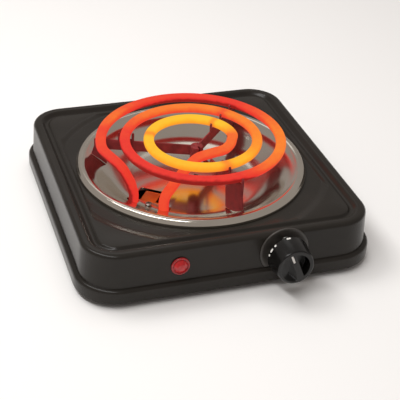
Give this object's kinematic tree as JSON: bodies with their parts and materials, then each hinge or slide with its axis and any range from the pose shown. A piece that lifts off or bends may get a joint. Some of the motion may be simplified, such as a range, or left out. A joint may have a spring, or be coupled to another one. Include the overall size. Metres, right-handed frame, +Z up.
{
  "type": "hot plate burner",
  "caption": "Portable electric hot plate: black steel case with a polished drip pan, a glowing spiral tube heater on notched arms, a rotary thermostat knob and a red lamp.",
  "frame": {"origin": "middle of the outline at the level of the feet's soles", "axes": "+Z up, -Y to the front, where the knob and the lamp are, +X to the right seen from the front"},
  "size_m": [0.224, 0.2488, 0.0633],
  "materials": {
    "black_enamel": "semi-gloss black enamel on deep-drawn steel",
    "polished_steel": "mirror-polished stainless steel",
    "hot_sheath": "oxidised heater sheath, glowing red",
    "oxidised_steel": "heat-darkened steel",
    "zinc_steel": "zinc-plated steel",
    "black_plastic": "gloss black phenolic",
    "red_lens": "clear red polycarbonate",
    "black_rubber": "matt black rubber",
    "ceramic": "unglazed steatite",
    "brass": "plain brass",
    "white_print": "matt white filler",
    "clear_glass": "clear glass with a neon glow",
    "glass_sleeve": "varnished glass-fibre sleeve"
  },
  "bodies": {
    "case": {"housing": "black_enamel", "drip_pan": "polished_steel", "heating_element": "hot_sheath", "support_arm_left": "oxidised_steel", "support_arm_back": "oxidised_steel", "support_arm_front": "oxidised_steel", "support_hub": "oxidised_steel", "base_plate": "zinc_steel", "cross_bar": "zinc_steel", "pan_screw": "zinc_steel", "element_flange": "zinc_steel", "flange_screw": "zinc_steel", "element_pin_outer": "zinc_steel", "element_pin_inner": "zinc_steel", "thermostat_frame": "zinc_steel", "thermostat_screw_upper": "zinc_steel", "thermostat_screw_lower": "zinc_steel", "stack_screw": "zinc_steel", "base_screw_front_left": "zinc_steel", "base_screw_front_right": "zinc_steel", "base_screw_back_left": "zinc_steel", "base_screw_back_right": "zinc_steel", "foot_front_left": "black_rubber", "foot_front_right": "black_rubber", "foot_back_left": "black_rubber", "foot_back_right": "black_rubber", "cord_inlet": "black_rubber", "dial_ring": "black_plastic", "lamp_nut": "black_plastic", "lamp_lens": "red_lens", "neon_bulb": "clear_glass", "terminal_block": "ceramic", "element_seal_outer": "ceramic", "element_seal_inner": "ceramic", "ceramic_spacer_front": "ceramic", "ceramic_spacer_middle": "ceramic", "ceramic_spacer_back": "ceramic", "terminal_screw_outer": "brass", "terminal_screw_inner": "brass", "contact_blade": "brass", "earth_tag": "brass", "earth_screw": "brass", "lead_load": "glass_sleeve", "lamp_lead_a": "glass_sleeve", "lamp_lead_b": "glass_sleeve"},
    "knob": {"knob": "black_plastic", "knob_pointer": "white_print", "thermostat_spindle": "zinc_steel"},
    "setting_blade": {"setting_blade": "brass"}
  },
  "joints": [
    {"name": "knob_turn", "type": "hinge", "parent": "case", "child": "knob", "pos_m": [0.035, -0.10029, 0.0273], "axis": [0, 0.9988, -0.0486], "range_deg": [-100, 180]},
    {"name": "setting_blade_bend", "type": "hinge", "parent": "case", "child": "setting_blade", "pos_m": [0.05, -0.0919, 0.02689], "axis": [0, 0.0486, 0.9988], "range_deg": [-1.8, 1]}
  ],
  "couplings": [
    {"joint": "setting_blade_bend", "follows": "knob_turn", "ratio": -0.01}
  ]
}
